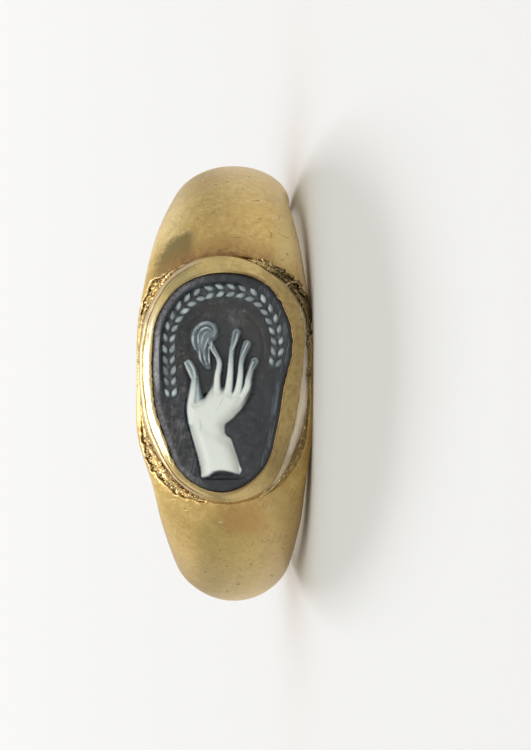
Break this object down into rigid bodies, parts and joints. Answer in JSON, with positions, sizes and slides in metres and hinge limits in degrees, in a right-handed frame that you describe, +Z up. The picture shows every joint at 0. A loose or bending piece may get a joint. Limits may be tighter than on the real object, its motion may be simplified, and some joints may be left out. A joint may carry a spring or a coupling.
{
  "type": "finger ring",
  "caption": "Broad gold finger ring with swelling shoulders and a soldered oval collar holding a stone cameo of a hand pinching an ear under leaves.",
  "frame": {"origin": "the point where the finger hole's axis meets the surface that the ring lies on", "axes": "+Z up, out of the surface that the ring lies on; -Y the way the bezel faces, tipped up by the ring's rest; +X along the hoop, towards the upper end of the carving"},
  "size_m": [0.023, 0.0234, 0.0092],
  "materials": {
    "gold": "soft satin, worn and finely scratched",
    "layered_stone": "polished dark stone with a milky white layer on the relief"
  },
  "bodies": {
    "root": {"hoop_and_bezel": "gold", "cameo": "layered_stone"}
  },
  "joints": []
}
